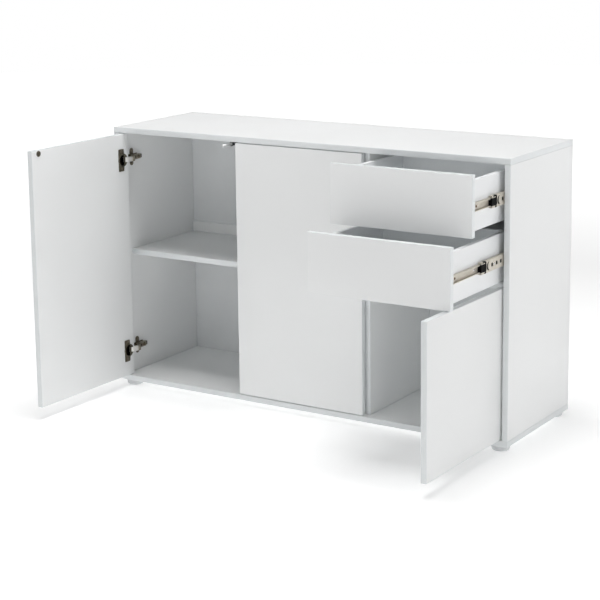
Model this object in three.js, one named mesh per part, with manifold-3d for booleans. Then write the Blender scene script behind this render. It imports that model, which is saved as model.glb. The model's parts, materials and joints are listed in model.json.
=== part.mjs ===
// Sideboard buffet: a white board carcass on round glides, three inset doors on concealed hinges,
// push latches, a wide shelf and two drawers on ball-bearing slides.
// Millimetres, +Z up. The origin is on the floor at mid width, in the plane of the closed fronts.
// +X runs to the right as seen from the front and +Y to the back.
import * as THREE from 'three';
import { mergeVertices } from 'three/addons/utils/BufferGeometryUtils.js';
import Module from 'manifold-3d';

const wasm = await Module();
wasm.setup();

// Carcass
const WIDTH = 1170;
const DEPTH = 360;
const CARCASS_HEIGHT = 700;
const BOARD = 15;
const FOOT_HEIGHT = 15;
const FRONT_SETBACK = 19;
const DIVIDER_X = 182;
const DRAWER_BASE_Z = 397;
const INNER_X = WIDTH / 2 - BOARD;
const FLOOR_Z = FOOT_HEIGHT + BOARD;
const CEILING_Z = FOOT_HEIGHT + CARCASS_HEIGHT - BOARD;
const DIVIDER_RIGHT_X = DIVIDER_X + BOARD;

// Back panels, in grooves
const BACK_THICKNESS = 3;
const BACK_FRONT_Y = 334;
const GROOVE_DEPTH = 5;
const GROOVE_PLAY = 0.3;

// Wide shelf and the rail along its back edge
const SHELF_TOP_Z = 375;
const SHELF_FRONT_Y = 44;
const SHELF_PLAY = 0.5;
const SHELF_RAIL_HEIGHT = 30;
const SHELF_RAIL_THICKNESS = 8;

// Feet: the profile of a glide as [radius, height] points, with a rounded sole and a shallow groove
const FOOT_PROFILE = [
  [0, 0], [18, 0], [21, 1.5], [23.2, 4.5], [23.2, 7.5], [22, 8], [22, 9.5], [24, 10],
  [24, FOOT_HEIGHT], [0, FOOT_HEIGHT],
];
const FOOT_INSET_X = 29;
const FOOT_INSET_FRONT = 25;
const FOOT_INSET_BACK = 25;

// Fronts
const FRONT_WIDTH = 375;
const FRONT_GAP = 2;
const LEFT_DOOR_X = -567;
const MIDDLE_DOOR_X = -190;
const RIGHT_FRONT_X = 192;
const RIGHT_DOOR_HEIGHT = 372;
const DRAWER_FRONT_HEIGHT = 145;
const FRONT_BOTTOM_Z = FLOOR_Z + FRONT_GAP;
const TALL_DOOR_HEIGHT = CEILING_Z - FLOOR_Z - 2 * FRONT_GAP;

// Door hinges: the swing axis lies inside the door, near its hinge edge
const AXIS_FROM_EDGE = 8;
const AXIS_Y = 7;
const CUP_FROM_EDGE = 22.5;
const CUP_RADIUS = 17.5;
const CUP_DEPTH = 11.5;
const CUP_POCKET_RADIUS = 13.5;
const CUP_POCKET_DEPTH = 9;
const BORE_RADIUS = 17.8;
const BORE_DEPTH = 12;
const FLANGE_RADIUS = 18;
const FLANGE_THICKNESS = 1.4;
const FLANGE_LENGTH = 60;
const FLANGE_WIDTH = 20.6;
const FLANGE_OFFSET = 6.8;
const HINGE_FROM_END = 70;
const RIGHT_DOOR_UPPER_HINGE_FROM_END = 55;
const SEAT_GAP = 0.3;

// Hinge arms: the head stands out as far as the cup, and the tail lies along the panel
const ARM_FRONT_Y = 19;
const ARM_BACK_Y = 84;
const ARM_HALF_WIDTH = 6.5;
const ARM_HEAD_INNER = 7;
const ARM_HEAD_OUTER = 5;
const ARM_HEAD_LENGTH = 12;
const ARM_NECK_Y = ARM_FRONT_Y + 9;
const ARM_TAIL_Y = 45;
const ARM_TAIL_DEPTH = 14;
const ARM_TAIL_GAP = 1;

// Winged mounting plates under the arms
const PLATE_HALF_WIDTH = 9;
const PLATE_THICKNESS = 4;
const PLATE_SPAN_Y = [40, 76];
const WING_Y = 53;
const WING_HALF_LENGTH = 23.5;
const WING_RADIUS = 6.5;
const WING_THICKNESS = 2;
const WING_STEPS = 8;

// Push latches
const LATCH_FROM_FREE_EDGE = 25;
const LATCH_DROP = 9;
const LATCH_FRONT_Y = 22;
const LATCH_LENGTH = 66;
const LATCH_RADIUS = 5.2;
const LATCH_BORE_RADIUS = 4.1;
const LATCH_BORE_LENGTH = 56;
const LATCH_BASE_WIDTH = 22;
const LATCH_BASE_THICKNESS = 2;
const LATCH_WEB_WIDTH = 7;
const PLUNGER_TIP_Y = 17;
// Profile of a plunger as [radius, distance behind the tip] points, with a rounded nose
const PLUNGER_PROFILE = [[0, 0], [2.4, 0], [3.4, 0.7], [3.7, 1.8], [3.7, 52], [0, 52]];
const STRIKER_DROP = 11;
const STRIKER_RADIUS = 7.5;
const STRIKER_THICKNESS = 1.2;
// Millimetres that a plunger comes out for each radian its door opens
const PLUNGER_LEAD = 22;

// Drawers and slides
const DRAWER_LENGTH = 300;
const DRAWER_BOARD = 12;
const DRAWER_SIDE_RISE = 11;
const DRAWER_SIDE_HEIGHT = 118;
const DRAWER_BOTTOM_RISE = 9;
const DRAWER_BOTTOM_THICKNESS = 3;
const DRAWER_GROOVE_DEPTH = 5;
const SLIDE_SPACE = 13;
const SLIDE_RISE = 68;
const SLIDE_FRONT_Y = 20;
// Each rail's web stands face away from the panel, and its lips reach depth further, back where negative
const OUTER_RAIL = { length: 300, height: 35, face: 0, depth: 10.5 };
const MIDDLE_RAIL = { length: 285, height: 28.4, face: 2.2, depth: 9 };
const INNER_RAIL = { length: 294, height: 20, face: 12.8, depth: -8 };
const RAIL_SHEET = 1.2;

// How far each moving piece stands open
const LEFT_DOOR_ANGLE = THREE.MathUtils.degToRad(91);
const RIGHT_DOOR_ANGLE = THREE.MathUtils.degToRad(89);
const UPPER_DRAWER_PULL = 160;
const LOWER_DRAWER_PULL = 264;
const MIDDLE_RAIL_RATIO = 0.5;

// How far a cutting tool reaches past the face that it opens
const OVERCUT = 1;
const ROUND_SEGMENTS = 32;
const SMALL_SEGMENTS = 24;

const FINISHES = {
  board: { color: 0xeff1f2, roughness: 0.42, metalness: 0 },
  hardboard: { color: 0xe9ebec, roughness: 0.6, metalness: 0 },
  whitePlastic: { color: 0xf0f0ee, roughness: 0.4, metalness: 0 },
  darkPlastic: { color: 0x2a2a2c, roughness: 0.5, metalness: 0 },
  hingeMetal: { color: 0x6f6a5e, roughness: 0.35, metalness: 1 },
  cupMetal: { color: 0x4a463f, roughness: 0.4, metalness: 1 },
  railZinc: { color: 0xbfb8a8, roughness: 0.35, metalness: 1 },
  strikerSteel: { color: 0x8a857c, roughness: 0.4, metalness: 1 },
};

// ---------------------------------------------------------------- geometry helpers

function box([x0, x1], [y0, y1], [z0, z1]) {
  const geometry = new THREE.BoxGeometry(x1 - x0, y1 - y0, z1 - z0);
  return geometry.translate((x0 + x1) / 2, (y0 + y1) / 2, (z0 + z1) / 2);
}

// A prism along one axis. Outline points are in cyclic order: (y, z) for x, (z, x) for y, (x, y) for z.
function prism(axis, outline, from, to) {
  const shape = new THREE.Shape(outline.map(([u, v]) => new THREE.Vector2(u, v)));
  const geometry = new THREE.ExtrudeGeometry(shape, { depth: to - from, bevelEnabled: false });
  geometry.translate(0, 0, from);
  const unit = ['x', 'y', 'z'].map((_, i) => new THREE.Vector3().setComponent(i, 1));
  const k = 'xyz'.indexOf(axis);
  const turn = new THREE.Matrix4().makeBasis(unit[(k + 1) % 3], unit[(k + 2) % 3], unit[k]);
  return geometry.applyMatrix4(turn);
}

function cylinderY(radius, from, to, x, z, segments = ROUND_SEGMENTS) {
  const geometry = new THREE.CylinderGeometry(radius, radius, to - from, segments);
  return geometry.translate(x, (from + to) / 2, z);
}

function toSolid(geometry) {
  const bare = geometry.clone();
  bare.deleteAttribute('normal');
  bare.deleteAttribute('uv');
  const merged = mergeVertices(bare);
  return new wasm.Manifold(new wasm.Mesh({
    numProp: 3,
    vertProperties: new Float32Array(merged.attributes.position.array),
    triVerts: new Uint32Array(merged.index.array),
  }));
}

function toGeometry(solid) {
  const mesh = solid.getMesh();
  const geometry = new THREE.BufferGeometry();
  geometry.setAttribute('position', new THREE.BufferAttribute(mesh.vertProperties, mesh.numProp));
  geometry.setIndex(new THREE.BufferAttribute(mesh.triVerts, 1));
  geometry.computeVertexNormals();
  return geometry;
}

function join(...geometries) {
  return toGeometry(geometries.map(toSolid).reduce((sum, next) => sum.add(next)));
}

function cut(geometry, ...tools) {
  return toGeometry(tools.map(toSolid).reduce((rest, tool) => rest.subtract(tool), toSolid(geometry)));
}

function addPiece(parent, name, geometry, finish) {
  const mesh = new THREE.Mesh(geometry, new THREE.MeshStandardMaterial(FINISHES[finish]));
  mesh.name = name;
  parent.add(mesh);
  return mesh;
}

// ---------------------------------------------------------------- carcass

function addCarcass(parent) {
  const outside = [-WIDTH / 2, WIDTH / 2];
  const fullDepth = [0, DEPTH];
  const inside = [FLOOR_Z, CEILING_Z];
  const groove = [BACK_FRONT_Y - GROOVE_PLAY, BACK_FRONT_Y + BACK_THICKNESS + GROOVE_PLAY];
  const grooveReach = [-INNER_X - GROOVE_DEPTH, INNER_X + GROOVE_DEPTH];
  const bottom = box(outside, fullDepth, [FOOT_HEIGHT, FLOOR_Z]);
  const top = box(outside, fullDepth, [CEILING_Z, CEILING_Z + BOARD]);
  const left = box([-WIDTH / 2, -INNER_X], fullDepth, inside);
  const right = box([INNER_X, WIDTH / 2], fullDepth, inside);
  const divider = box([DIVIDER_X, DIVIDER_RIGHT_X], [FRONT_SETBACK, DEPTH], inside);
  const floorGroove = box(grooveReach, groove, [FLOOR_Z - GROOVE_DEPTH, FLOOR_Z + OVERCUT]);
  const ceilingGroove = box(grooveReach, groove, [CEILING_Z - OVERCUT, CEILING_Z + GROOVE_DEPTH]);
  const uprightGroove = (from, to) => box([from, to], groove, [0, CEILING_Z + BOARD]);
  const leftGroove = uprightGroove(-INNER_X - GROOVE_DEPTH, -INNER_X + OVERCUT);
  const rightGroove = uprightGroove(INNER_X - OVERCUT, INNER_X + GROOVE_DEPTH);
  const dividerGrooves = [
    uprightGroove(DIVIDER_X - OVERCUT, DIVIDER_X + GROOVE_DEPTH),
    uprightGroove(DIVIDER_RIGHT_X - GROOVE_DEPTH, DIVIDER_RIGHT_X + OVERCUT),
  ];
  addPiece(parent, 'bottom_panel', cut(bottom, floorGroove), 'board');
  addPiece(parent, 'top_panel', cut(top, ceilingGroove), 'board');
  addPiece(parent, 'left_side_panel', cut(left, leftGroove), 'board');
  addPiece(parent, 'right_side_panel', cut(right, rightGroove), 'board');
  addPiece(parent, 'divider_panel', cut(divider, ...dividerGrooves), 'board');
  const drawerBase = box(
    [DIVIDER_RIGHT_X, INNER_X], [FRONT_SETBACK, BACK_FRONT_Y - GROOVE_PLAY],
    [DRAWER_BASE_Z, DRAWER_BASE_Z + BOARD],
  );
  addPiece(parent, 'drawer_base_panel', drawerBase, 'board');
}

function addBackPanels(parent) {
  const reach = GROOVE_DEPTH - GROOVE_PLAY;
  const depth = [BACK_FRONT_Y, BACK_FRONT_Y + BACK_THICKNESS];
  const height = [FLOOR_Z - reach, CEILING_Z + reach];
  const wide = box([-INNER_X - reach, DIVIDER_X + reach], depth, height);
  const narrow = box([DIVIDER_RIGHT_X - reach, INNER_X + reach], depth, height);
  addPiece(parent, 'wide_back_panel', wide, 'hardboard');
  addPiece(parent, 'right_back_panel', narrow, 'hardboard');
}

function addShelf(parent) {
  const span = [-INNER_X + SHELF_PLAY, DIVIDER_X - SHELF_PLAY];
  const backY = BACK_FRONT_Y - GROOVE_PLAY;
  const shelf = box(span, [SHELF_FRONT_Y, backY], [SHELF_TOP_Z - BOARD, SHELF_TOP_Z]);
  const rail = box(span, [backY - SHELF_RAIL_THICKNESS, backY],
    [SHELF_TOP_Z, SHELF_TOP_Z + SHELF_RAIL_HEIGHT]);
  addPiece(parent, 'wide_shelf', shelf, 'board');
  addPiece(parent, 'shelf_back_rail', rail, 'board');
}

function footGeometry() {
  const profile = FOOT_PROFILE.map(([r, h]) => new THREE.Vector2(r, h));
  return new THREE.LatheGeometry(profile, ROUND_SEGMENTS).rotateX(Math.PI / 2);
}

function addFeet(parent) {
  const rows = { front: FOOT_INSET_FRONT, back: DEPTH - FOOT_INSET_BACK };
  const columns = { left: -WIDTH / 2 + FOOT_INSET_X, right: WIDTH / 2 - FOOT_INSET_X };
  for (const [row, y] of Object.entries(rows)) {
    for (const [column, x] of Object.entries(columns)) {
      const foot = addPiece(parent, `foot_${row}_${column}`, footGeometry(), 'whitePlastic');
      foot.position.set(x, y, 0);
    }
  }
}

// ---------------------------------------------------------------- doors

// hand is 1 for a door hinged on its right and -1 for one hinged on its left.
// faceX is the inner face of the panel that carries the hinges.
const DOORS = [
  {
    name: 'left_door', hand: -1, leftX: LEFT_DOOR_X, height: TALL_DOOR_HEIGHT, faceX: -INNER_X,
    angle: LEFT_DOOR_ANGLE, upperHingeFromEnd: HINGE_FROM_END, latchCeilingZ: CEILING_Z,
  },
  {
    name: 'middle_door', hand: 1, leftX: MIDDLE_DOOR_X, height: TALL_DOOR_HEIGHT, faceX: DIVIDER_X,
    angle: 0, upperHingeFromEnd: HINGE_FROM_END, latchCeilingZ: CEILING_Z,
  },
  {
    name: 'right_door', hand: 1, leftX: RIGHT_FRONT_X, height: RIGHT_DOOR_HEIGHT, faceX: INNER_X,
    angle: RIGHT_DOOR_ANGLE, upperHingeFromEnd: RIGHT_DOOR_UPPER_HINGE_FROM_END,
    latchCeilingZ: DRAWER_BASE_Z,
  },
];

function hingeEdgeX(door) {
  return door.hand > 0 ? door.leftX + FRONT_WIDTH : door.leftX;
}

function hingeHeights(door) {
  return {
    upper: FRONT_BOTTOM_Z + door.height - door.upperHingeFromEnd,
    lower: FRONT_BOTTOM_Z + HINGE_FROM_END,
  };
}

function latchPlace(door) {
  const freeEdgeX = door.hand > 0 ? door.leftX : door.leftX + FRONT_WIDTH;
  return { x: freeEdgeX + door.hand * LATCH_FROM_FREE_EDGE, z: door.latchCeilingZ - LATCH_DROP };
}

// A sheet flange, widened around the cup, and the hollow cup sunk in the door
function hingeCupGeometry(x, z, hand) {
  const inner = BOARD + SEAT_GAP;
  const outer = inner + FLANGE_THICKNESS;
  const wingX = x - hand * FLANGE_OFFSET;
  const wings = box([wingX - FLANGE_WIDTH / 2, wingX + FLANGE_WIDTH / 2], [inner, outer],
    [z - FLANGE_LENGTH / 2, z + FLANGE_LENGTH / 2]);
  const rim = cylinderY(FLANGE_RADIUS, inner, outer, x, z);
  const cup = cylinderY(CUP_RADIUS, inner - CUP_DEPTH, outer - FLANGE_THICKNESS / 2, x, z);
  const pocket = cylinderY(CUP_POCKET_RADIUS, outer - CUP_POCKET_DEPTH, outer + OVERCUT, x, z);
  return cut(join(wings, rim, cup), pocket);
}

function doorPanelGeometry(door, cupX) {
  const panel = box([door.leftX, door.leftX + FRONT_WIDTH], [0, BOARD],
    [FRONT_BOTTOM_Z, FRONT_BOTTOM_Z + door.height]);
  const bores = Object.values(hingeHeights(door)).map(
    (z) => cylinderY(BORE_RADIUS, BOARD - BORE_DEPTH, BOARD + OVERCUT, cupX, z),
  );
  return cut(panel, ...bores);
}

function addDoor(parent, door) {
  const edgeX = hingeEdgeX(door);
  const axisX = edgeX - door.hand * AXIS_FROM_EDGE;
  const cupX = edgeX - door.hand * CUP_FROM_EDGE;
  const swing = new THREE.Group();
  swing.position.set(axisX, AXIS_Y, 0);
  swing.rotation.z = door.hand * door.angle;
  parent.add(swing);
  const place = (geometry) => geometry.translate(-axisX, -AXIS_Y, 0);
  addPiece(swing, `${door.name}_panel`, place(doorPanelGeometry(door, cupX)), 'board');
  for (const [level, z] of Object.entries(hingeHeights(door))) {
    const cup = hingeCupGeometry(cupX, z, door.hand);
    addPiece(swing, `${door.name}_${level}_hinge_cup`, place(cup), 'cupMetal');
  }
  const strikerX = latchPlace(door).x;
  const strikerY = BOARD + SEAT_GAP;
  const strikerZ = door.latchCeilingZ - STRIKER_DROP;
  const striker = cylinderY(STRIKER_RADIUS, strikerY, strikerY + STRIKER_THICKNESS, strikerX, strikerZ);
  addPiece(swing, `${door.name}_striker`, place(striker), 'strikerSteel');
}

// Plan of the cranked arm, as distances out from the panel face and back from the fronts
function armOutline(door) {
  const cupX = hingeEdgeX(door) - door.hand * CUP_FROM_EDGE;
  const cupOut = Math.abs(cupX - door.faceX);
  const inner = cupOut - ARM_HEAD_INNER;
  const outer = cupOut + ARM_HEAD_OUTER;
  const plan = [
    [inner, ARM_FRONT_Y], [outer, ARM_FRONT_Y], [outer, ARM_FRONT_Y + ARM_HEAD_LENGTH],
    [ARM_TAIL_DEPTH, ARM_TAIL_Y], [ARM_TAIL_DEPTH, ARM_BACK_Y], [ARM_TAIL_GAP, ARM_BACK_Y],
    [ARM_TAIL_GAP, ARM_TAIL_Y], [inner, ARM_NECK_Y],
  ];
  return plan.map(([out, y]) => [door.faceX - door.hand * out, y]);
}

function wingOutline(z) {
  const points = [];
  for (const side of [1, -1]) {
    for (let i = 0; i <= WING_STEPS; i += 1) {
      const angle = (side > 0 ? 0 : Math.PI) + (i * Math.PI) / WING_STEPS;
      const y = WING_Y + WING_RADIUS * Math.cos(angle);
      points.push([y, z + side * (WING_HALF_LENGTH - WING_RADIUS) + WING_RADIUS * Math.sin(angle)]);
    }
  }
  return points;
}

function spanFrom(faceX, direction, reach) {
  return direction > 0 ? [faceX, faceX + reach] : [faceX - reach, faceX];
}

function addHingeArms(parent, door) {
  const inward = -door.hand;
  for (const [level, z] of Object.entries(hingeHeights(door))) {
    const arm = prism('z', armOutline(door), z - ARM_HALF_WIDTH, z + ARM_HALF_WIDTH);
    const wings = prism('x', wingOutline(z), ...spanFrom(door.faceX, inward, WING_THICKNESS));
    const base = box(spanFrom(door.faceX, inward, PLATE_THICKNESS), PLATE_SPAN_Y,
      [z - PLATE_HALF_WIDTH, z + PLATE_HALF_WIDTH]);
    addPiece(parent, `${door.name}_${level}_hinge_arm`, join(arm, wings, base), 'hingeMetal');
  }
}

// ---------------------------------------------------------------- push latches

function addLatchHousing(parent, door) {
  const { x, z } = latchPlace(door);
  const ceiling = door.latchCeilingZ;
  const length = [LATCH_FRONT_Y, LATCH_FRONT_Y + LATCH_LENGTH];
  const barrel = cylinderY(LATCH_RADIUS, ...length, x, z, SMALL_SEGMENTS);
  const base = box([x - LATCH_BASE_WIDTH / 2, x + LATCH_BASE_WIDTH / 2], length,
    [ceiling - LATCH_BASE_THICKNESS, ceiling]);
  const web = box([x - LATCH_WEB_WIDTH / 2, x + LATCH_WEB_WIDTH / 2], length,
    [z, ceiling - LATCH_BASE_THICKNESS / 2]);
  const bore = cylinderY(LATCH_BORE_RADIUS, LATCH_FRONT_Y - OVERCUT, LATCH_FRONT_Y + LATCH_BORE_LENGTH,
    x, z, SMALL_SEGMENTS);
  addPiece(parent, `${door.name}_latch_housing`, cut(join(barrel, base, web), bore), 'darkPlastic');
}

function addLatchPlunger(parent, door) {
  const { x, z } = latchPlace(door);
  const tip = PLUNGER_TIP_Y - PLUNGER_LEAD * door.angle;
  const profile = PLUNGER_PROFILE.map(([r, behind]) => new THREE.Vector2(r, tip + behind));
  const rod = new THREE.LatheGeometry(profile, SMALL_SEGMENTS).translate(x, 0, z);
  addPiece(parent, `${door.name}_latch_plunger`, rod, 'whitePlastic');
}

// ---------------------------------------------------------------- drawers

const DRAWER_BOTTOM_Z = FRONT_BOTTOM_Z + RIGHT_DOOR_HEIGHT + FRONT_GAP;
const DRAWERS = [
  { name: 'lower_drawer', frontZ: DRAWER_BOTTOM_Z, pull: LOWER_DRAWER_PULL },
  {
    name: 'upper_drawer', frontZ: DRAWER_BOTTOM_Z + DRAWER_FRONT_HEIGHT + FRONT_GAP,
    pull: UPPER_DRAWER_PULL,
  },
];
const BOX_SPAN = [DIVIDER_RIGHT_X + SLIDE_SPACE, INNER_X - SLIDE_SPACE];

// Section of a drawer side with the groove for the bottom, as (z, x) points.
// inward is 1 where the inside of the drawer is towards +X.
function drawerSideOutline(outerX, inward, bottomZ) {
  const grooveZ = bottomZ + DRAWER_BOTTOM_RISE - GROOVE_PLAY;
  const grooveTop = grooveZ + DRAWER_BOTTOM_THICKNESS + 2 * GROOVE_PLAY;
  const innerX = outerX + inward * DRAWER_BOARD;
  const grooveX = innerX - inward * DRAWER_GROOVE_DEPTH;
  const topZ = bottomZ + DRAWER_SIDE_HEIGHT;
  return [
    [bottomZ, outerX], [bottomZ, innerX], [grooveZ, innerX], [grooveZ, grooveX],
    [grooveTop, grooveX], [grooveTop, innerX], [topZ, innerX], [topZ, outerX],
  ];
}

function addDrawerBox(parent, drawer) {
  const sideZ = drawer.frontZ + DRAWER_SIDE_RISE;
  const length = [BOARD, BOARD + DRAWER_LENGTH];
  const [leftX, rightX] = BOX_SPAN;
  const innerSpan = [leftX + DRAWER_BOARD, rightX - DRAWER_BOARD];
  const bottomZ = sideZ + DRAWER_BOTTOM_RISE;
  const bottomReach = DRAWER_GROOVE_DEPTH - GROOVE_PLAY;
  const front = box([RIGHT_FRONT_X, RIGHT_FRONT_X + FRONT_WIDTH], [0, BOARD],
    [drawer.frontZ, drawer.frontZ + DRAWER_FRONT_HEIGHT]);
  const bottom = box([innerSpan[0] - bottomReach, innerSpan[1] + bottomReach],
    [BOARD + GROOVE_PLAY, BOARD + DRAWER_LENGTH], [bottomZ, bottomZ + DRAWER_BOTTOM_THICKNESS]);
  const back = box(innerSpan, [BOARD + DRAWER_LENGTH - DRAWER_BOARD, BOARD + DRAWER_LENGTH],
    [bottomZ + DRAWER_BOTTOM_THICKNESS + GROOVE_PLAY, sideZ + DRAWER_SIDE_HEIGHT]);
  addPiece(parent, `${drawer.name}_front`, front, 'board');
  addPiece(parent, `${drawer.name}_left_side`, prism('y', drawerSideOutline(leftX, 1, sideZ), ...length),
    'board');
  addPiece(parent, `${drawer.name}_right_side`, prism('y', drawerSideOutline(rightX, -1, sideZ), ...length),
    'board');
  addPiece(parent, `${drawer.name}_back`, back, 'board');
  addPiece(parent, `${drawer.name}_bottom`, bottom, 'hardboard');
}

// A folded rail along Y: a web with a flange above and below, open towards the drawer,
// or towards the cabinet where its depth is negative.
function railGeometry(rail, wallX, inward, z) {
  const turn = Math.sign(rail.depth);
  const webX = wallX + inward * rail.face;
  const sheetX = webX + inward * turn * RAIL_SHEET;
  const lipX = webX + inward * rail.depth;
  const half = rail.height / 2;
  const outline = [
    [z - half, webX], [z - half, lipX], [z - half + RAIL_SHEET, lipX], [z - half + RAIL_SHEET, sheetX],
    [z + half - RAIL_SHEET, sheetX], [z + half - RAIL_SHEET, lipX], [z + half, lipX], [z + half, webX],
  ];
  return prism('y', outline, SLIDE_FRONT_Y, SLIDE_FRONT_Y + rail.length);
}

function addDrawer(parent, drawer) {
  const carriage = new THREE.Group();
  const midway = new THREE.Group();
  carriage.position.y = -drawer.pull;
  midway.position.y = -drawer.pull * MIDDLE_RAIL_RATIO;
  parent.add(carriage, midway);
  addDrawerBox(carriage, drawer);
  const z = drawer.frontZ + SLIDE_RISE;
  const walls = { left: { x: DIVIDER_RIGHT_X, inward: 1 }, right: { x: INNER_X, inward: -1 } };
  for (const [side, wall] of Object.entries(walls)) {
    const name = `${drawer.name}_${side}`;
    const rail = (kind) => railGeometry(kind, wall.x, wall.inward, z);
    addPiece(parent, `${name}_outer_rail`, rail(OUTER_RAIL), 'railZinc');
    addPiece(midway, `${name}_middle_rail`, rail(MIDDLE_RAIL), 'railZinc');
    addPiece(carriage, `${name}_inner_rail`, rail(INNER_RAIL), 'railZinc');
  }
}

// ---------------------------------------------------------------- assembly

const sideboard = new THREE.Group();
addCarcass(sideboard);
addBackPanels(sideboard);
addShelf(sideboard);
addFeet(sideboard);
for (const door of DOORS) {
  addDoor(sideboard, door);
  addHingeArms(sideboard, door);
  addLatchHousing(sideboard, door);
  addLatchPlunger(sideboard, door);
}
for (const drawer of DRAWERS) {
  addDrawer(sideboard, drawer);
}

export default sideboard;
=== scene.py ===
"""White sideboard buffet: bevelled boards, stamped hinges, push latches and ball-bearing slides.

The frame is the CAD frame: the origin is on the floor at mid width in the plane of the closed fronts,
+X to the right, +Y to the back. Lengths are in millimetres until a mesh is made, then in metres.
"""

import json
import math

import bmesh
import bpy
from mathutils import Matrix, Vector
from mathutils.geometry import tessellate_polygon

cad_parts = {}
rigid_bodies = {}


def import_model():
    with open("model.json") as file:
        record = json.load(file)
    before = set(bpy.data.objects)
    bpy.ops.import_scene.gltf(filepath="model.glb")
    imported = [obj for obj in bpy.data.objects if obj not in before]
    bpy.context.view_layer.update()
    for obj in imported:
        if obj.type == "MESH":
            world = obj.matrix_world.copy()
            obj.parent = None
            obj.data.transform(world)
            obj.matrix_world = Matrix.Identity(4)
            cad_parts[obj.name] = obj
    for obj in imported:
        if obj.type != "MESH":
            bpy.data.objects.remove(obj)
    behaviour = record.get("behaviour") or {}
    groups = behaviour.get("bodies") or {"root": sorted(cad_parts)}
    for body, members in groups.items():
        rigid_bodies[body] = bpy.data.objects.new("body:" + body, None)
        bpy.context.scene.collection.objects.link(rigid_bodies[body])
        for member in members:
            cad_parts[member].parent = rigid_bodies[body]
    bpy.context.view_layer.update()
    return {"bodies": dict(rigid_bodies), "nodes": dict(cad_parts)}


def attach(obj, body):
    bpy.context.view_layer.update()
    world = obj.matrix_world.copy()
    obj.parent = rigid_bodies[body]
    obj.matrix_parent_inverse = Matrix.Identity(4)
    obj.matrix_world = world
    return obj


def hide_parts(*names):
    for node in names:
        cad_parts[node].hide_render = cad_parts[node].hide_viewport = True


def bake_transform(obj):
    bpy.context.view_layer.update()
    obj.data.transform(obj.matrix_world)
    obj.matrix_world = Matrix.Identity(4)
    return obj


MM = 0.001

# Camera
CAMERA_PLACE = (2.2198, -3.4596, 1.3151)
CAMERA_YAW = math.radians(-32.39)
CAMERA_PITCH = math.radians(-11.01)
CAMERA_ROLL = math.radians(-0.64)
CAMERA_LENS = 99.8
CAMERA_SHIFT = (-0.0113, -0.1333)

# Doors: hand is 1 for a door hinged on its right, and panel is the inner face that carries its hinges
AXIS_FROM_EDGE = 8
AXIS_Y = 7
CUP_FROM_EDGE = 22.5
DOORS = {
    "left_door": {
        "hand": -1, "edge": -567, "panel": -570, "turn": 91, "hinges": (628, 102), "latch": (-217, 700),
    },
    "middle_door": {
        "hand": 1, "edge": 185, "panel": 182, "turn": 0, "hinges": (628, 102), "latch": (-165, 700),
    },
    "right_door": {
        "hand": 1, "edge": 567, "panel": 570, "turn": 89, "hinges": (349, 102), "latch": (217, 397),
    },
}
PLUNGER_LEAD = 22
LATCH_DROP = 9
STRIKER_DROP = 11

# Drawers and slides
DRAWERS = {"upper_drawer": {"front": 553, "pull": 160}, "lower_drawer": {"front": 406, "pull": 264}}
SLIDE_RISE = 68
SLIDE_FRONT_Y = 20
MIDDLE_RAIL_RATIO = 0.5
WALLS = {"left": (197, 1), "right": (570, -1)}

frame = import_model()


# ---------------------------------------------------------------- mesh helpers, in millimetres


def place(axis, u, v, w):
    """The point with w along axis, and u and v along the two axes that follow it."""
    k = "xyz".index(axis)
    point = [0.0, 0.0, 0.0]
    point[k] = w
    point[(k + 1) % 3] = u
    point[(k + 2) % 3] = v
    return point


def circle(u, v, radius, steps=24, start=0.0, sweep=2 * math.pi):
    """Points round a centre."""
    angles = (start + sweep * i / steps for i in range(steps))
    return [(u + radius * math.cos(a), v + radius * math.sin(a)) for a in angles]


def rounded(u0, u1, v0, v1, radius, steps=4):
    """A rectangle with round corners."""
    centres = [
        (u1 - radius, v1 - radius, 0), (u0 + radius, v1 - radius, 1),
        (u0 + radius, v0 + radius, 2), (u1 - radius, v0 + radius, 3),
    ]
    points = []
    for cu, cv, quarter in centres:
        for i in range(steps + 1):
            a = (quarter + i / steps) * math.pi / 2
            points.append((cu + radius * math.cos(a), cv + radius * math.sin(a)))
    return points


def cross(u, v, reach, half):
    """The outline of a cross recess."""
    corner = [(reach, -half), (reach, half), (half, half)]
    points = []
    for quarter in range(4):
        c, s = [(1, 0), (0, 1), (-1, 0), (0, -1)][quarter]
        points += [(u + a * c - b * s, v + a * s + b * c) for a, b in corner]
    return points


def plate(bm, axis, loops, low, high):
    """A flat plate between low and high along axis. The first loop is its outline and the rest are holes."""
    rings = [[[bm.verts.new(place(axis, u, v, w)) for u, v in loop] for loop in loops] for w in (low, high)]
    if len(loops) == 1:
        bm.faces.new(rings[0][0])
        bm.faces.new(rings[1][0])
    else:
        triangles = tessellate_polygon([[Vector((u, v, 0)) for u, v in loop] for loop in loops])
        for ring in rings:
            corners = [vert for loop in ring for vert in loop]
            for triangle in triangles:
                bm.faces.new([corners[i] for i in triangle])
    for lower, upper in zip(*rings):
        for i, vert in enumerate(lower):
            j = (i + 1) % len(lower)
            bm.faces.new((vert, lower[j], upper[j], upper[i]))


def lathe(bm, axis, centre, profile, steps=48):
    """A solid of revolution about a line along axis. The profile is (radius, distance) from pole to pole."""
    u, v, w = centre
    rings = []
    for radius, along in profile:
        if radius < 1e-6:
            rings.append([bm.verts.new(place(axis, u, v, w + along))])
            continue
        rings.append([bm.verts.new(place(axis, a, b, w + along)) for a, b in circle(u, v, radius, steps)])
    for lower, upper in zip(rings, rings[1:]):
        for i in range(steps):
            j = (i + 1) % steps
            corners = [
                lower[i % len(lower)], lower[j % len(lower)], upper[j % len(upper)], upper[i % len(upper)],
            ]
            unique = list(dict.fromkeys(corners))
            bm.faces.new(unique)


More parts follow.
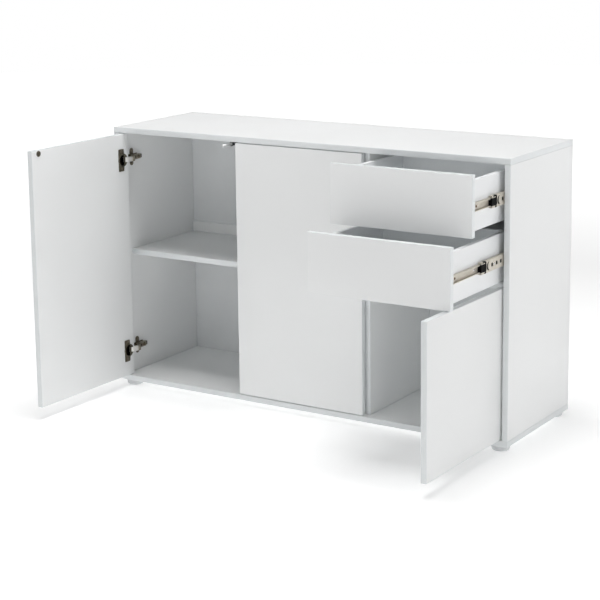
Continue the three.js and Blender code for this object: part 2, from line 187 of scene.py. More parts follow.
def tube(bm, axis, centre, profile, steps=48):
    """A ring of revolution: the profile is a closed loop of (radius, distance) points."""
    u, v, w = centre
    rings = [
        [bm.verts.new(place(axis, a, b, w + along)) for a, b in circle(u, v, radius, steps)]
        for radius, along in profile
    ]
    for lower, upper in zip(rings, rings[1:] + rings[:1]):
        for i in range(steps):
            j = (i + 1) % steps
            bm.faces.new((lower[i], lower[j], upper[j], upper[i]))


def screw(bm, axis, u, v, base, side, radius=3.6, height=1.6):
    """A screw head with a cross recess, standing on base and facing side along axis."""
    top = base + side * height
    floor = top - side * height * 0.8
    rim = circle(u, v, radius * 0.86, 24)
    outer = circle(u, v, radius, 24)
    opening = cross(u, v, radius * 0.62, radius * 0.16)
    inside = cross(u, v, radius * 0.46, radius * 0.1)
    loops = {}
    for name, points, w in (
        ("base", outer, base), ("edge", outer, base + side * height * 0.35), ("rim", rim, top),
        ("opening", opening, top), ("floor", inside, floor),
    ):
        loops[name] = [bm.verts.new(place(axis, a, b, w)) for a, b in points]
    for first, second in (("base", "edge"), ("edge", "rim"), ("opening", "floor")):
        lower, upper = loops[first], loops[second]
        for i, vert in enumerate(lower):
            j = (i + 1) % len(lower)
            bm.faces.new((vert, lower[j], upper[j], upper[i]))
    cap = tessellate_polygon([[Vector((a, b, 0)) for a, b in rim], [Vector((a, b, 0)) for a, b in opening]])
    corners = loops["rim"] + loops["opening"]
    for triangle in cap:
        bm.faces.new([corners[i] for i in triangle])
    bm.faces.new(loops["floor"])
    bm.faces.new(loops["base"])


def ball(bm, centre, radius):
    """A bearing ball."""
    bmesh.ops.create_icosphere(bm, subdivisions=2, radius=radius, matrix=Matrix.Translation(centre))


def soften(bm, width, segments=2, least=40):
    """Rounds every edge sharper than least degrees."""
    edges = [e for e in bm.edges if len(e.link_faces) == 2 and e.calc_face_angle(0) > math.radians(least)]
    bmesh.ops.bevel(
        bm, geom=edges, offset=width, offset_type="OFFSET", segments=segments, profile=0.5,
        affect="EDGES", clamp_overlap=True,
    )


def make_piece(name, bm, body, materials, matrix=None, stands_for=(), angle=35):
    """Turns a mesh in millimetres into a piece that rides on body."""
    bm.transform(Matrix.Scale(MM, 4) @ (matrix or Matrix.Identity(4)))
    bmesh.ops.recalc_face_normals(bm, faces=bm.faces)
    mesh = bpy.data.meshes.new(name)
    bm.to_mesh(mesh)
    bm.free()
    for material in materials if isinstance(materials, (list, tuple)) else (materials,):
        mesh.materials.append(material)
    mesh.shade_smooth()
    mesh.set_sharp_from_angle(angle=math.radians(angle))
    piece = bpy.data.objects.new(name, mesh)
    bpy.context.scene.collection.objects.link(piece)
    if body:
        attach(piece, body)
    if stands_for:
        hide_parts(*stands_for)
    return piece


# ---------------------------------------------------------------- materials


def linear(r, g, b):
    """sRGB values from 0 to 255 as a linear colour."""
    def channel(c):
        c /= 255
        return c / 12.92 if c <= 0.04045 else ((c + 0.055) / 1.055) ** 2.4
    return (channel(r), channel(g), channel(b), 1.0)


class Finish:
    """A material under construction: noise in object space drives its colour, gloss and relief."""

    def __init__(self, name):
        self.material = bpy.data.materials.new(name)
        self.material.use_nodes = True
        self.tree = self.material.node_tree
        self.shader = self.tree.nodes["Principled BSDF"]
        self.coordinates = self.tree.nodes.new("ShaderNodeTexCoord")

    def node(self, kind, **values):
        made = self.tree.nodes.new(kind)
        for key, value in values.items():
            setattr(made, key, value)
        return made

    def noise(self, scale, stretch=(1, 1, 1), detail=3.0, roughness=0.5):
        mapping = self.node("ShaderNodeMapping")
        mapping.inputs["Scale"].default_value = stretch
        texture = self.node("ShaderNodeTexNoise")
        texture.inputs["Scale"].default_value = scale
        texture.inputs["Detail"].default_value = detail
        texture.inputs["Roughness"].default_value = roughness
        self.tree.links.new(self.coordinates.outputs["Object"], mapping.inputs["Vector"])
        self.tree.links.new(mapping.outputs["Vector"], texture.inputs["Vector"])
        return texture.outputs["Fac"]

    def ramp(self, source, low, high, first, last):
        ramp = self.node("ShaderNodeMapRange")
        ramp.inputs["From Min"].default_value = low
        ramp.inputs["From Max"].default_value = high
        ramp.inputs["To Min"].default_value = first
        ramp.inputs["To Max"].default_value = last
        self.tree.links.new(source, ramp.inputs["Value"])
        return ramp.outputs["Result"]

    def colour(self, source, first, last, low=0.3, high=0.7):
        ramp = self.node("ShaderNodeValToRGB")
        ramp.color_ramp.elements[0].position = low
        ramp.color_ramp.elements[1].position = high
        ramp.color_ramp.elements[0].color = first
        ramp.color_ramp.elements[1].color = last
        self.tree.links.new(source, ramp.inputs["Fac"])
        self.tree.links.new(ramp.outputs["Color"], self.shader.inputs["Base Color"])

    def gloss(self, source, first, last):
        self.tree.links.new(self.ramp(source, 0.3, 0.7, first, last), self.shader.inputs["Roughness"])

    def relief(self, source, depth, strength=1.0):
        bump = self.node("ShaderNodeBump")
        bump.inputs["Distance"].default_value = depth
        bump.inputs["Strength"].default_value = strength
        self.tree.links.new(source, bump.inputs["Height"])
        self.tree.links.new(bump.outputs["Normal"], self.shader.inputs["Normal"])


def laminate(name, first, last, gloss=(0.34, 0.4), grain=340.0):
    """Satin melamine: a fine pearl relief, and a tone that drifts slowly over the board."""
    finish = Finish(name)
    finish.colour(finish.noise(3.0, detail=2.0), first, last)
    finish.gloss(finish.noise(14.0, detail=4.0), *gloss)
    finish.relief(finish.noise(grain, detail=1.0), 0.00001, 0.2)
    return finish.material


def hardboard(name, first, last):
    finish = Finish(name)
    finish.colour(finish.noise(9.0, detail=4.0), first, last)
    finish.gloss(finish.noise(60.0), 0.5, 0.62)
    finish.relief(finish.noise(500.0, stretch=(1, 1, 0.35), detail=2.0), 0.00003, 0.5)
    return finish.material


def chipboard(name):
    """The raw core where a groove or bore opens the board."""
    finish = Finish(name)
    finish.colour(finish.noise(700.0, detail=3.0), linear(150, 118, 78), linear(206, 176, 130), 0.35, 0.65)
    finish.gloss(finish.noise(300.0), 0.8, 0.95)
    finish.relief(finish.noise(650.0, detail=4.0), 0.0003, 0.8)
    return finish.material


def plated(name, first, last, gloss, stretch, grain=420.0, metallic=1.0):
    """Plated sheet steel: brushed along one direction, with a cloudy tone."""
    finish = Finish(name)
    finish.shader.inputs["Metallic"].default_value = metallic
    finish.colour(finish.noise(85.0, detail=4.0), first, last, 0.35, 0.65)
    finish.gloss(finish.noise(grain, stretch=stretch, detail=3.0), *gloss)
    finish.relief(finish.noise(grain, stretch=stretch, detail=2.0), 0.00002, 0.4)
    return finish.material


def moulded(name, first, last, gloss, grain=1100.0, depth=0.00002, specular=0.5):
    """Moulded plastic with a fine spark-eroded grain."""
    finish = Finish(name)
    finish.shader.inputs["Specular IOR Level"].default_value = specular
    finish.colour(finish.noise(55.0, detail=2.0), first, last)
    finish.gloss(finish.noise(260.0), *gloss)
    finish.relief(finish.noise(grain, detail=2.0), depth, 0.6)
    return finish.material


BOARD = laminate("white_melamine", linear(236, 237, 237), linear(239, 240, 240))
EDGE = laminate("white_edge_band", linear(226, 229, 230), linear(230, 233, 234), (0.36, 0.42), 60.0)
BOX = laminate("drawer_melamine", linear(234, 236, 237), linear(238, 239, 240))
CORE = chipboard("raw_chipboard")
PANEL = hardboard("white_hardboard", linear(222, 224, 225), linear(228, 230, 231))
# The glides' grey tone, darker than the boards, is painted shade for the feet under the cabinet.
GLIDE_PAINTED_SHADE = moulded("glide_plastic_painted_shade", linear(216, 218, 219), linear(222, 224, 225), (0.32, 0.42))
PLUNGER = moulded("white_plunger_plastic", linear(214, 215, 216), linear(222, 223, 223), (0.28, 0.38))
BLACK = moulded("black_plastic", linear(5, 5, 6), linear(12, 12, 13), (0.5, 0.65), specular=0.06)
GRAPHITE = moulded("graphite_plastic", linear(44, 45, 47), linear(62, 63, 65), (0.4, 0.55))
NICKEL = plated("dark_nickel", linear(104, 98, 84), linear(134, 127, 112), (0.24, 0.4), (1, 1, 0.12))
BRIGHT = plated(
    "bright_nickel", linear(236, 233, 228), linear(246, 244, 240), (0.3, 0.42), (1, 1, 0.12), metallic=0.5,
)
# Dark steel: in the hinge cup's well its dark tone is painted shade for the cup's hollow; the arm's clip
# uses the same material.
CUP_STEEL_PAINTED_SHADE = plated("cup_steel_painted_shade", linear(46, 42, 36), linear(70, 65, 56), (0.3, 0.5), (1, 1, 1))
ARM = plated("satin_nickel", linear(150, 143, 128), linear(176, 168, 152), (0.28, 0.42), (1, 1, 0.12))
ZINC = plated(
    "zinc_rail", linear(208, 202, 190), linear(220, 214, 203), (0.42, 0.55), (1, 0.05, 1), metallic=0.5,
)
BROWN = plated("bronzed_screw", linear(96, 72, 50), linear(120, 92, 66), (0.35, 0.5), (1, 1, 1))
STEEL = plated("screw_steel", linear(108, 100, 88), linear(142, 133, 118), (0.25, 0.4), (1, 1, 1))
BALL = plated("bearing_steel", linear(200, 200, 202), linear(220, 220, 222), (0.1, 0.18), (1, 1, 1))


# ---------------------------------------------------------------- rest places of the moving bodies


def door_rest(door):
    axis = Vector((door["edge"] - door["hand"] * AXIS_FROM_EDGE, AXIS_Y, 0))
    turn = Matrix.Rotation(math.radians(door["hand"] * door["turn"]), 4, "Z")
    return Matrix.Translation(axis) @ turn @ Matrix.Translation(-axis)


def drawer_rest(drawer, share=1.0):
    return Matrix.Translation((0, -drawer["pull"] * share, 0))


# ---------------------------------------------------------------- boards


BOARD_EDGE_RADIUS = 1.1


def outer_planes(bm):
    lows = [min(v.co[i] for v in bm.verts) for i in range(3)]
    highs = [max(v.co[i] for v in bm.verts) for i in range(3)]
    return lows, highs


def board(name, body="root", rest=None, radius=BOARD_EDGE_RADIUS, finishes=(BOARD, EDGE, CORE)):
    """The CAD board with eased outer edges: laminate faces, banded edges and a raw core in its cuts."""
    rest = rest or Matrix.Identity(4)
    bm = bmesh.new()
    bm.from_mesh(frame["nodes"][name].data)
    bm.transform(rest.inverted() @ Matrix.Scale(1 / MM, 4))
    bmesh.ops.remove_doubles(bm, verts=bm.verts, dist=0.002)
    bmesh.ops.dissolve_limit(bm, angle_limit=math.radians(0.5), verts=bm.verts, edges=bm.edges)
    lows, highs = outer_planes(bm)
    thin = min(range(3), key=lambda i: highs[i] - lows[i])

    def planes(point):
        return [i for i in range(3) if min(abs(point[i] - lows[i]), abs(point[i] - highs[i])) < 0.01]

    def on_arris(edge):
        shared = set(planes(edge.verts[0].co)) & set(planes(edge.verts[1].co))
        return len(shared) > 1

    for face in bm.faces:
        held = set(planes(face.calc_center_median()))
        face.material_index = 2 if not held else (0 if thin in held else 1)
    arrises = [e for e in bm.edges if on_arris(e)]
    bmesh.ops.bevel(
        bm, geom=arrises, offset=radius, offset_type="OFFSET", segments=3, profile=0.5,
        affect="EDGES", clamp_overlap=True, material=1,
    )
    return make_piece(f"{name}_board", bm, body, finishes, rest, (name,), 30)


def add_boards():
    for name in (
        "bottom_panel", "top_panel", "left_side_panel", "right_side_panel", "divider_panel",
        "drawer_base_panel", "wide_shelf", "shelf_back_rail",
    ):
        board(name)
    for name, door in DOORS.items():
        board(f"{name}_panel", name, door_rest(door))
    for name, drawer in DRAWERS.items():
        board(f"{name}_front", name, drawer_rest(drawer))
        for part in ("left_side", "right_side", "back"):
            board(f"{name}_{part}", name, drawer_rest(drawer), 0.6, (BOX, BOX, CORE))


def add_hardboards():
    names = ["wide_back_panel", "right_back_panel"] + [f"{name}_bottom" for name in DRAWERS]
    for name in names:
        frame["nodes"][name].data.materials.clear()
        frame["nodes"][name].data.materials.append(PANEL)


# ---------------------------------------------------------------- feet


FOOT_CENTRES = {
    "front_left": (-556, 25), "front_right": (556, 25), "back_left": (-556, 335), "back_right": (556, 335),
}
FOOT_PROFILE = [
    (0, 0), (15, 0), (17.4, 0.3), (19.6, 1.2), (21.3, 2.6), (22.3, 4.0), (22.5, 6.6), (21.6, 7.0),
    (21.6, 8.0),
    (23.2, 8.4), (23.6, 9.0), (23.6, 11.2), (22.8, 11.6), (22.8, 12.4), (24, 12.8), (24, 15), (0, 15),
]


def add_feet():
    for name, (x, y) in FOOT_CENTRES.items():
        bm = bmesh.new()
        lathe(bm, "z", (x, y, 0), FOOT_PROFILE, 72)
        # The glide plastic is tinted grey as painted shade under the cabinet.
        make_piece(f"foot_{name}_glide", bm, "root", GLIDE_PAINTED_SHADE, None, (f"foot_{name}",), 25)


# ---------------------------------------------------------------- hinges


DOOR_FACE_Y = 15.3
FLANGE = 1.4
CUP_FLOOR = 10.5
FLANGE_OFFSET = 6.8
FLANGE_HALF = (10.3, 30)
CUP_SCREW_Z = 24
WING_Y = 53
WING_RADIUS = 6.5
WING_RISE = 17
LINK_HALF = 6.6
LINK_BOW = 2.4


def add_hinge_cup(name, door, level, z):
    """The flange, rim and hollow cup, in the closed door's place."""
    x = door["edge"] - door["hand"] * CUP_FROM_EDGE
    wing = x - door["hand"] * FLANGE_OFFSET
    face = DOOR_FACE_Y + FLANGE
    bm = bmesh.new()
    half, reach = FLANGE_HALF
    outline = rounded(z - reach, z + reach, wing - half, wing + half, 2.5)
    plate(bm, "y", [outline, circle(z, x, 15.2, 40)], DOOR_FACE_Y, face)
    tube(bm, "y", (z, x, 0), [
        (15, face - 0.4), (15.2, face + 0.5), (15.9, face + 0.9), (17.0, face + 0.9), (17.8, face + 0.4),
        (18, DOOR_FACE_Y), (15, DOOR_FACE_Y),
    ], 56)
    cup = f"{name}_{level}_hinge_cup"
    make_piece(f"{cup}_flange", bm, name, NICKEL, door_rest(door), (cup,), 30)
    well = bmesh.new()
    tube(well, "y", (z, x, 0), [
        (15.1, face - 0.3), (14.9, DOOR_FACE_Y - 2), (14.6, face - CUP_FLOOR + 0.8),
        (13.6, face - CUP_FLOOR),
        (0.6, face - CUP_FLOOR), (0.6, face - CUP_FLOOR - 0.8), (14.2, face - CUP_FLOOR - 0.8),
        (15.6, face - CUP_FLOOR + 0.2), (15.9, face - 0.3),
    ], 56)
    plate(well, "z", [circle(x + door["hand"] * 9, face - 3.2, 1.5, 16)], z - 13.5, z + 13.5)
    plate(well, "z", [circle(x - door["hand"] * 6, face - 5.6, 1.2, 16)], z - 13.5, z + 13.5)
    # The well's dark steel is painted shade inside the cup's hollow.
    make_piece(f"{cup}_well", well, name, CUP_STEEL_PAINTED_SHADE, door_rest(door))
    screws = bmesh.new()
    for side in (-1, 1):
        screw(screws, "y", z + side * CUP_SCREW_Z, wing, face - 0.2, 1, 4.1, 1.5)
    make_piece(f"{cup}_screws", screws, name, STEEL, door_rest(door))


def hinge_place(door, z):
    """From (distance out of the panel, depth, height above the hinge) to the world."""
    turn = Matrix(((-door["hand"], 0, 0, door["panel"]), (0, 1, 0, 0), (0, 0, 1, z), (0, 0, 0, 1)))
    return turn


def add_hinge_arm(name, door, level, z):
    cup_out = abs(door["edge"] - door["hand"] * CUP_FROM_EDGE - door["panel"])
    local = hinge_place(door, z)
    arm = f"{name}_{level}_hinge_arm"
    bm = bmesh.new()
    crest = [
        (cup_out + 3.4, 24.4), (cup_out + 4.4, 26), (cup_out + 4.4, 30), (cup_out + 3, 33.4), (15.4, 43.4),
        (14, 47), (14, 76), (12.6, 78.6), (9, 81),
    ]
    under = [(u - 1.4, v) for u, v in crest[:1]] + [(u - 1.3, v - 0.4) for u, v in crest[1:]]
    plate(bm, "z", [crest + under[::-1]], -6.5, 6.5)
    cheek = [
        (cup_out + 3, 24.4), (cup_out + 3.8, 30), (cup_out + 2.2, 33), (14.6, 43), (13.4, 47), (13.4, 76),
        (5.5, 76), (4.4, 72), (4.4, 44), (cup_out - 6, 31), (cup_out - 6.6, 26), (cup_out - 3.6, 20),
    ]
    for side in (-1, 1):
        plate(bm, "z", [cheek], *sorted((side * 5.3, side * 6.5)))
    soften(bm, 0.3, 2, 50)
    make_piece(f"{arm}_channel", bm, "root", ARM, local, (arm,), 30)

    base = bmesh.new()
    front, back = WING_Y - WING_RADIUS, WING_Y + WING_RADIUS
    wings = circle(WING_Y, WING_RISE, WING_RADIUS, 10, 0, math.pi)
    wings += [(front, WING_RISE), (front, 9), (front - 2, 7.5), (40, 7.5), (40, -7.5), (front - 2, -7.5)]
    wings += [(front, -9)] + circle(WING_Y, -WING_RISE, WING_RADIUS, 10, math.pi, math.pi)
    wings += [(back, -WING_RISE), (back, -9), (back + 2, -8), (76, -8), (76, 8), (back + 2, 8), (back, 9)]
    holes = [circle(WING_Y, side * WING_RISE, 2.4, 16) for side in (-1, 1)]
    plate(base, "x", [wings] + holes, 0, 2)
    plate(base, "x", [rounded(46, 75, -5.1, 5.1, 1.5)], 2, 7.5)
    soften(base, 0.3, 2, 50)
    make_piece(f"{arm}_plate", base, "root", NICKEL, local)

    fixings = bmesh.new()
    for side in (-1, 1):
        screw(fixings, "x", WING_Y, side * WING_RISE, 1.6, 1, 3.9, 1.8)
    screw(fixings, "x", 68, 0, 13.6, 1, 4.6, 2.0)
    screw(fixings, "x", 54, 0, 13.8, 1, 3.2, 1.4)
    make_piece(f"{arm}_screws", fixings, "root", STEEL, local)

    clip = bmesh.new()
    plate(clip, "z", [[(4.6, 75), (11, 78), (12.2, 83.4), (10.9, 83.9), (8.6, 80), (4, 78)]], -5, 5)
    soften(clip, 0.3, 2, 50)
    make_piece(f"{arm}_clip", clip, "root", CUP_STEEL_PAINTED_SHADE, local)


def add_hinge_link(name, door, level, z):
    """The bright link from the arm's head into the cup, at the rest angle."""
    local = hinge_place(door, z)
    cup_x = door["edge"] - door["hand"] * CUP_FROM_EDGE
    inside = door_rest(door) @ Vector((cup_x + door["hand"] * 8.5, DOOR_FACE_Y - 3.5, z))
    head = local @ Vector((abs(cup_x - door["panel"]) - 0.5, 26, 0))
    along = (head - inside).normalized()
    across = Vector((0, 0, 1)).cross(along) * door["hand"]
    link_place = Matrix.Translation(inside) @ Matrix((
        (along.x, across.x, 0, 0), (along.y, across.y, 0, 0), (0, 0, 1, 0), (0, 0, 0, 1),
    ))
    length = (head - inside).length
    steps = 12
    shell = [
        (length * i / steps - 1, 3.2 + LINK_BOW * math.sin(math.pi * i / steps)) for i in range(steps + 1)
    ]
    bm = bmesh.new()
    under = [(a, b - 1.2) for a, b in reversed(shell)]
    plate(bm, "z", [shell + under], -LINK_HALF, LINK_HALF)
    cheek = shell + [(length - 1, -2.6), (-1, -2.6)]
    for side in (-1, 1):
        plate(bm, "z", [cheek], *sorted((side * (LINK_HALF - 1.2), side * LINK_HALF)))
    for pivot in (0.6, length - 2):
        plate(bm, "z", [circle(pivot, 0, 1.7, 16)], -LINK_HALF - 0.5, LINK_HALF + 0.5)
    soften(bm, 0.25, 2, 50)
    frame_steps = [shell[i] for i in range(5, steps + 1)]
    for low, high in ((-LINK_HALF + 0.5, -LINK_HALF + 2), (LINK_HALF - 2, LINK_HALF - 0.5)):
        raised = [(a, b + 0.5) for a, b in frame_steps] + [(a, b - 0.2) for a, b in reversed(frame_steps)]
        plate(bm, "z", [raised], low, high)
    piece = make_piece(f"{name}_{level}_hinge_link", bm, None, BRIGHT, link_place)
    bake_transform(piece)


def add_hinges():
    for name, door in DOORS.items():
        for level, z in zip(("upper", "lower"), door["hinges"]):
            add_hinge_cup(name, door, level, z)
            add_hinge_arm(name, door, level, z)
            add_hinge_link(name, door, level, z)


# ---------------------------------------------------------------- push latches


def add_latch(name, door):
    x, ceiling = door["latch"]
    z = ceiling - LATCH_DROP
    housing = f"{name}_latch_housing"
    bm = bmesh.new()
    tube(bm, "y", (z, x, 0), [
        (4.1, 22.4), (4.4, 22), (5.5, 22), (5.8, 22.4), (5.8, 25.6), (5.2, 26.2), (5.2, 44), (5.6, 44.4),
        (5.6, 46.6), (5.2, 47), (5.2, 66), (5.6, 66.4), (5.6, 68.6), (5.2, 69), (5.2, 86), (4.4, 88),
        (0.4, 88), (0.4, 79), (4.1, 78),
    ], 40)
    plate(bm, "z", [rounded(x - 11, x + 11, 23, 88, 3)], ceiling - 2, ceiling)
    for side in (-1, 1):
        plate(bm, "x", [[(24, z + 3), (86, z + 3), (86, ceiling - 1.5), (24, ceiling - 1.5)]],
              *sorted((x + side * 2.4, x + side * 3.6)))
    make_piece(f"{housing}_body", bm, "root", GRAPHITE, None, (housing,), 30)
    screws = bmesh.new()
    for y in (33, 78):
        for side in (-1, 1):
            screw(screws, "z", x + side * 8, y, ceiling - 2, -1, 2.6, 1.2)
    make_piece(f"{housing}_screws", screws, "root", STEEL)

    tip = 17 - PLUNGER_LEAD * math.radians(door["turn"])
    plunger = f"{name}_latch_plunger"
    rod = bmesh.new()
    lathe(rod, "y", (z, x, tip), [
        (0, 0.0), (1.8, 0.15), (2.7, 0.6), (3.3, 1.5), (3.6, 2.8), (3.7, 4.4), (3.7, 8.4), (3.3, 8.7),
        (3.3, 9.3),
        (3.7, 9.6), (3.7, 52), (0, 52),
    ], 36)
    make_piece(f"{plunger}_rod", rod, plunger, PLUNGER, None, (plunger,), 30)


def add_striker(name, door):
    """A pressed steel disc with a raised rim, sunk into the door's inner face."""
    x, ceiling = door["latch"]
    bm = bmesh.new()
    lathe(bm, "y", (ceiling - STRIKER_DROP, x, DOOR_FACE_Y), [
        (0, 0), (7.5, 0), (7.5, 0.7), (7.1, 1.2), (6.5, 1.2), (6.1, 0.8), (5.6, 0.55), (0, 0.55),
    ], 40)
    make_piece(f"{name}_striker_disc", bm, name, STEEL, door_rest(door),
               (f"{name}_striker",), 25)


def add_latches():
    for name, door in DOORS.items():
        add_latch(name, door)
        add_striker(name, door)


# ---------------------------------------------------------------- drawer slides


def rail_place(side, z):
    """From (distance from the wall, y, height above the slide's centre) to the world."""
    wall, inward = WALLS[side]
    return Matrix(((inward, 0, 0, wall), (0, 1, 0, 0), (0, 0, 1, z), (0, 0, 0, 1)))


def curled_lips(bm, web, reach, half, sheet, start, end):
    """Lips above and below a web, each curled round the balls' track."""
    for side in (-1, 1):
        turn = 1 if reach > web else -1
        outer = [
            (web, half), (web + turn * 1.2, half), (reach - turn * 1.0, half),
            (reach - turn * 0.3, half - 0.4),
            (reach, half - 1.1), (reach, half - 2.4),
        ]
        inner = [
            (reach - turn * sheet, half - 2.4), (reach - turn * (sheet + 0.2), half - 1.5),
            (reach - turn * (sheet + 0.9), half - sheet), (web, half - sheet),
        ]
        section = [(side * v, u) for u, v in outer + inner]
        plate(bm, "y", [section], start, end)


def add_outer_rail(node, side, z):
    bm = bmesh.new()
    start, end = SLIDE_FRONT_Y, SLIDE_FRONT_Y + 300
    screw_rows = (53, 160, 290)
    holes = [circle(y, v, 2.4, 16) for y in screw_rows for v in (-7, 7)]
    windows = [rounded(y, y + 16, -3, 3, 2.9) for y in (62, 100, 200, 240)]
    plate(bm, "x", [rounded(start, end, -16.4, 16.4, 0.6)] + holes + windows, 0, 1.2)
    curled_lips(bm, 0, 10.5, 17.5, 1.2, start, end)
    place_at = rail_place(side, z)
    make_piece(f"{node}_channel", bm, "root", ZINC, place_at, (node,), 30)
    screws = bmesh.new()
    for y in screw_rows:
        screw(screws, "x", y, 7, 0.9, 1, 3.2, 1.0)
    make_piece(f"{node}_screws", screws, "root", STEEL, place_at)


FRONT_CLIP = [
    (17.5, -8), (18.6, -9.3), (36.2, -9.3), (36.8, -11), (35, -13), (36, -14.4), (40.5, -14.4),
    (42.4, -12.6),
    (42, -9.6), (44.6, -7), (44.6, 8), (43.8, 12.6), (40.6, 14.9), (33, 14.9), (26.4, 13.4), (24.6, 11.6),
    (26.4, 10.9), (33, 12.2), (37.4, 11.6), (38.4, 9.3), (18.6, 9.3), (17.5, 8),
]


def add_middle_rail(node, side, z, drawer):
    bm = bmesh.new()
    start, end = SLIDE_FRONT_Y, SLIDE_FRONT_Y + 285
    windows = [rounded(y, y + 10, -4.6, 4.6, 1.6) for y in (71, 95, 117)]
    tip = 1.206
    crescent = circle(58, 0, 10.5, 18, tip, 2 * (math.pi - tip))
    crescent += circle(65.5, 0, 10.5, 12, math.pi + tip, -2 * tip)
    windows.append(crescent)
    holes = [circle(y, 0, 2.6, 20) for y in (150, 250)]
    plate(bm, "x", [rounded(start, end, -13.2, 13.2, 0.6)] + windows + holes, 2.2, 3.4)
    curled_lips(bm, 2.2, 11.2, 14.2, 1.2, start, end)
    place_at = drawer_rest(drawer, MIDDLE_RAIL_RATIO) @ rail_place(side, z)
    make_piece(f"{node}_channel", bm, node_body(node), ZINC, place_at, (node,), 30)

    cage = bmesh.new()
    plate(cage, "x", [rounded(34, 160, -9.4, 9.4, 1.0)], 3.9, 4.6)
    for edge in (-1, 1):
        plate(cage, "x", [rounded(34, 160, *sorted((edge * 10.2, edge * 12.6)), 0.6)], 5.0, 10.4)
    make_piece(f"{node}_ball_cage", cage, node_body(node), BLACK, place_at)
    bump = bmesh.new()
    lathe(bump, "x", (86.5, 0, 2.2), [(0, -0.9), (1.6, -0.8), (2.9, -0.2), (3.2, 0.3), (0, 0.3)], 24)
    make_piece(f"{node}_stop_bump", bump, node_body(node), BALL, place_at)
    balls = bmesh.new()
    for i in range(9):
        for edge in (-1, 1):
            ball(balls, (7.6, 42 + 14 * i, edge * 11.5), 1.9)
    make_piece(f"{node}_balls", balls, node_body(node), BALL, place_at)

    clip = bmesh.new()
    plate(clip, "x", [FRONT_CLIP], 1.4, 6.6)
    plate(clip, "x", [rounded(17.5, 40, -8.2, 8.2, 1)], 6.6, 10.4)
    soften(clip, 0.4, 2, 40)
    make_piece(f"{node}_front_clip", clip, node_body(node), BLACK, place_at)


def node_body(node):
    return node if node in frame["bodies"] else "root"


def add_inner_rail(node, side, z, body, drawer):
    bm = bmesh.new()
    start, end = SLIDE_FRONT_Y, SLIDE_FRONT_Y + 294
    holes = [circle(y, 0, 2.5, 20) for y in (37, 160, 280)]
    slots = [rounded(y, y + 10, -1.9, 1.9, 1.8) for y in (180, 220)]
    plate(bm, "x", [rounded(start, end, -9, 9, 0.6)] + holes + slots, 11.6, 12.8)
    curled_lips(bm, 12.8, 4.8, 10, 1.2, start, end)
    plate(bm, "x", [rounded(54, 124, -2.6, 2.6, 2.5), rounded(57, 121, -1.1, 1.1, 1.0)], 10.9, 11.7)
    place_at = drawer_rest(drawer) @ rail_place(side, z)
    make_piece(f"{node}_channel", bm, body, ZINC, place_at, (node,), 30)
    screws = bmesh.new()
    for y in (37, 160, 280):
        screw(screws, "x", y, 0, 11.9, -1, 3.0, 1.2)
    make_piece(f"{node}_screws", screws, body, BROWN, place_at)
    dimple = bmesh.new()
    lathe(dimple, "x", (133, 0, 11.6), [(0, -1.2), (1.4, -1.1), (2.6, -0.4), (2.9, 0.2), (0, 0.2)], 24)
    make_piece(f"{node}_dimple", dimple, body, BALL, place_at)


def add_slides():
    for name, drawer in DRAWERS.items():
        z = drawer["front"] + SLIDE_RISE
        for side in WALLS:
            rail = f"{name}_{side}"
            add_outer_rail(f"{rail}_outer_rail", side, z)
            add_middle_rail(f"{rail}_middle_rail", side, z, drawer)
            add_inner_rail(f"{rail}_inner_rail", side, z, name, drawer)


# ---------------------------------------------------------------- shelf pins


def add_shelf_pins():
    for side, x in (("left", -570), ("right", 182)):
        inward = 1 if side == "left" else -1
        for row, y in (("front", 92), ("back", 290)):
            bm = bmesh.new()
            lathe(bm, "x", (y, 356.2, x), [
                (0, 0), (3.6, 0), (3.6, inward * 1.0), (2.5, inward * 1.2), (2.5, inward * 8),
                (2.0, inward * 8.6),
                (0, inward * 8.6),
            ], 24)
            make_piece(f"shelf_pin_{row}_{side}", bm, "root", BRIGHT)


# ---------------------------------------------------------------- camera, floor and light


def add_camera():
    data = bpy.data.cameras.new("camera")
    data.lens = CAMERA_LENS
    data.sensor_width = 36.0
    data.shift_x, data.shift_y = CAMERA_SHIFT
    data.clip_end = 100
    camera = bpy.data.objects.new("camera", data)
    bpy.context.scene.collection.objects.link(camera)
    forward = Vector((
        math.sin(CAMERA_YAW) * math.cos(CAMERA_PITCH), math.cos(CAMERA_YAW) * math.cos(CAMERA_PITCH),
        math.sin(CAMERA_PITCH),
    ))
    level = Vector((math.cos(CAMERA_YAW), -math.sin(CAMERA_YAW), 0))
    above = level.cross(forward)
    right = level * math.cos(CAMERA_ROLL) + above * math.sin(CAMERA_ROLL)
    up = above * math.cos(CAMERA_ROLL) - level * math.sin(CAMERA_ROLL)
    turn = Matrix((right, up, -forward)).transposed().to_4x4()
    camera.matrix_world = Matrix.Translation(CAMERA_PLACE) @ turn
    bpy.context.scene.camera = camera


def add_floor():
    """White paper on a light table: a faint glow near the cabinet that rises to plain white further out."""
    finish = Finish("floor_paper")
    finish.colour(finish.noise(1.5, detail=2.0), (0.95, 0.95, 0.95, 1), (0.96, 0.96, 0.96, 1))
    finish.gloss(finish.noise(4.0), 0.85, 0.95)
    distance = finish.node("ShaderNodeVectorMath", operation="LENGTH")
    finish.tree.links.new(finish.coordinates.outputs["Object"], distance.inputs[0])
    glow = finish.ramp(distance.outputs["Value"], *FLOOR_REACH, *FLOOR_GLOW)
    finish.shader.inputs["Emission Color"].default_value = (1.0, 1.0, 1.0, 1.0)
    finish.tree.links.new(glow, finish.shader.inputs["Emission Strength"])
    bm = bmesh.new()
    plate(bm, "z", [circle(0, 0, 9000, 96)], -12, -0.05)
    make_piece("floor", bm, None, finish.material)


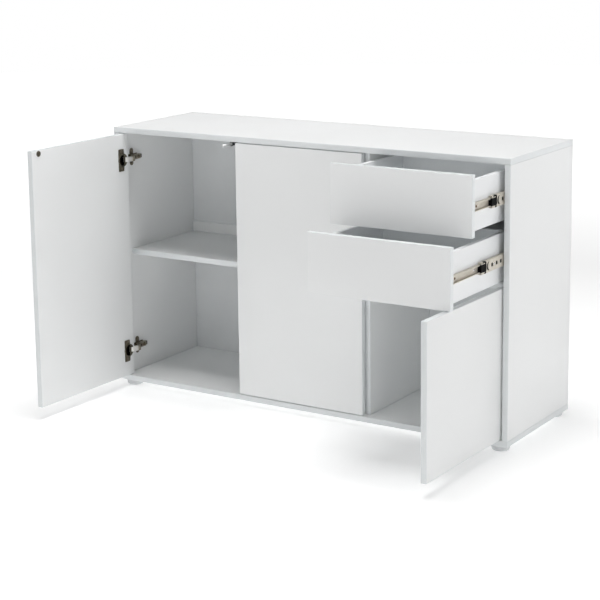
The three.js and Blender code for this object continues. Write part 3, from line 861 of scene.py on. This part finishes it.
def add_area_light(name, azimuth, elevation, distance, size, power):
    """A square soft box aimed at the cabinet. Azimuth 0 is in front, and 90 is on the right."""
    azimuth, elevation = math.radians(azimuth), math.radians(elevation)
    towards = Vector((
        math.sin(azimuth) * math.cos(elevation), -math.cos(azimuth) * math.cos(elevation),
        math.sin(elevation),
    ))
    data = bpy.data.lights.new(name, "AREA")
    data.shape = "SQUARE"
    data.size = size
    data.energy = power
    light = bpy.data.objects.new(name, data)
    bpy.context.scene.collection.objects.link(light)
    light.location = Vector(LIGHT_TARGET) + towards * distance
    light.rotation_euler = (-towards).to_track_quat("-Z", "Y").to_euler()


def add_world():
    """A studio that is white at and below the horizon and dims overhead."""
    world = bpy.data.worlds.new("studio")
    world.use_nodes = True
    tree = world.node_tree
    coordinates = tree.nodes.new("ShaderNodeTexCoord")
    split = tree.nodes.new("ShaderNodeSeparateXYZ")
    fade = tree.nodes.new("ShaderNodeMapRange")
    fade.interpolation_type = "SMOOTHSTEP"
    fade.inputs["From Max"].default_value = WORLD_FADE
    fade.inputs["To Min"].default_value = WORLD_HORIZON
    fade.inputs["To Max"].default_value = WORLD_OVERHEAD
    tree.links.new(coordinates.outputs["Generated"], split.inputs["Vector"])
    tree.links.new(split.outputs["Z"], fade.inputs["Value"])
    background = tree.nodes["Background"]
    background.inputs["Color"].default_value = (1.0, 1.0, 1.0, 1.0)
    tree.links.new(fade.outputs["Result"], background.inputs["Strength"])
    bpy.context.scene.world = world


FLOOR_GLOW = (0.25, 1.0)
FLOOR_REACH = (2.0, 4.5)
WORLD_HORIZON = 1.0
WORLD_OVERHEAD = 0.1
WORLD_FADE = 0.35
LIGHT_TARGET = (0.0, 0.0, 0.4)
OVERHEAD_POWER = 100
SIDE_POWER = 30
FILL_POWER = 10
LIGHTS = {
    "overhead": (0, 90, 3.5, 2.0, OVERHEAD_POWER),
    "right_side": (90, 30, 4.0, 1.5, SIDE_POWER),
    "left_side": (270, 30, 4.0, 1.5, SIDE_POWER),
    "front_fill": (0, 15, 4.0, 2.0, FILL_POWER),
}


def add_lights():
    for name, light in LIGHTS.items():
        add_area_light(name, *light)
    add_world()
    bpy.context.scene.view_settings.view_transform = "Standard"
    bpy.context.scene.cycles.diffuse_bounces = 12


add_camera()
add_floor()
add_lights()
add_boards()
add_hardboards()
add_feet()
add_hinges()
add_latches()
add_slides()
add_shelf_pins()
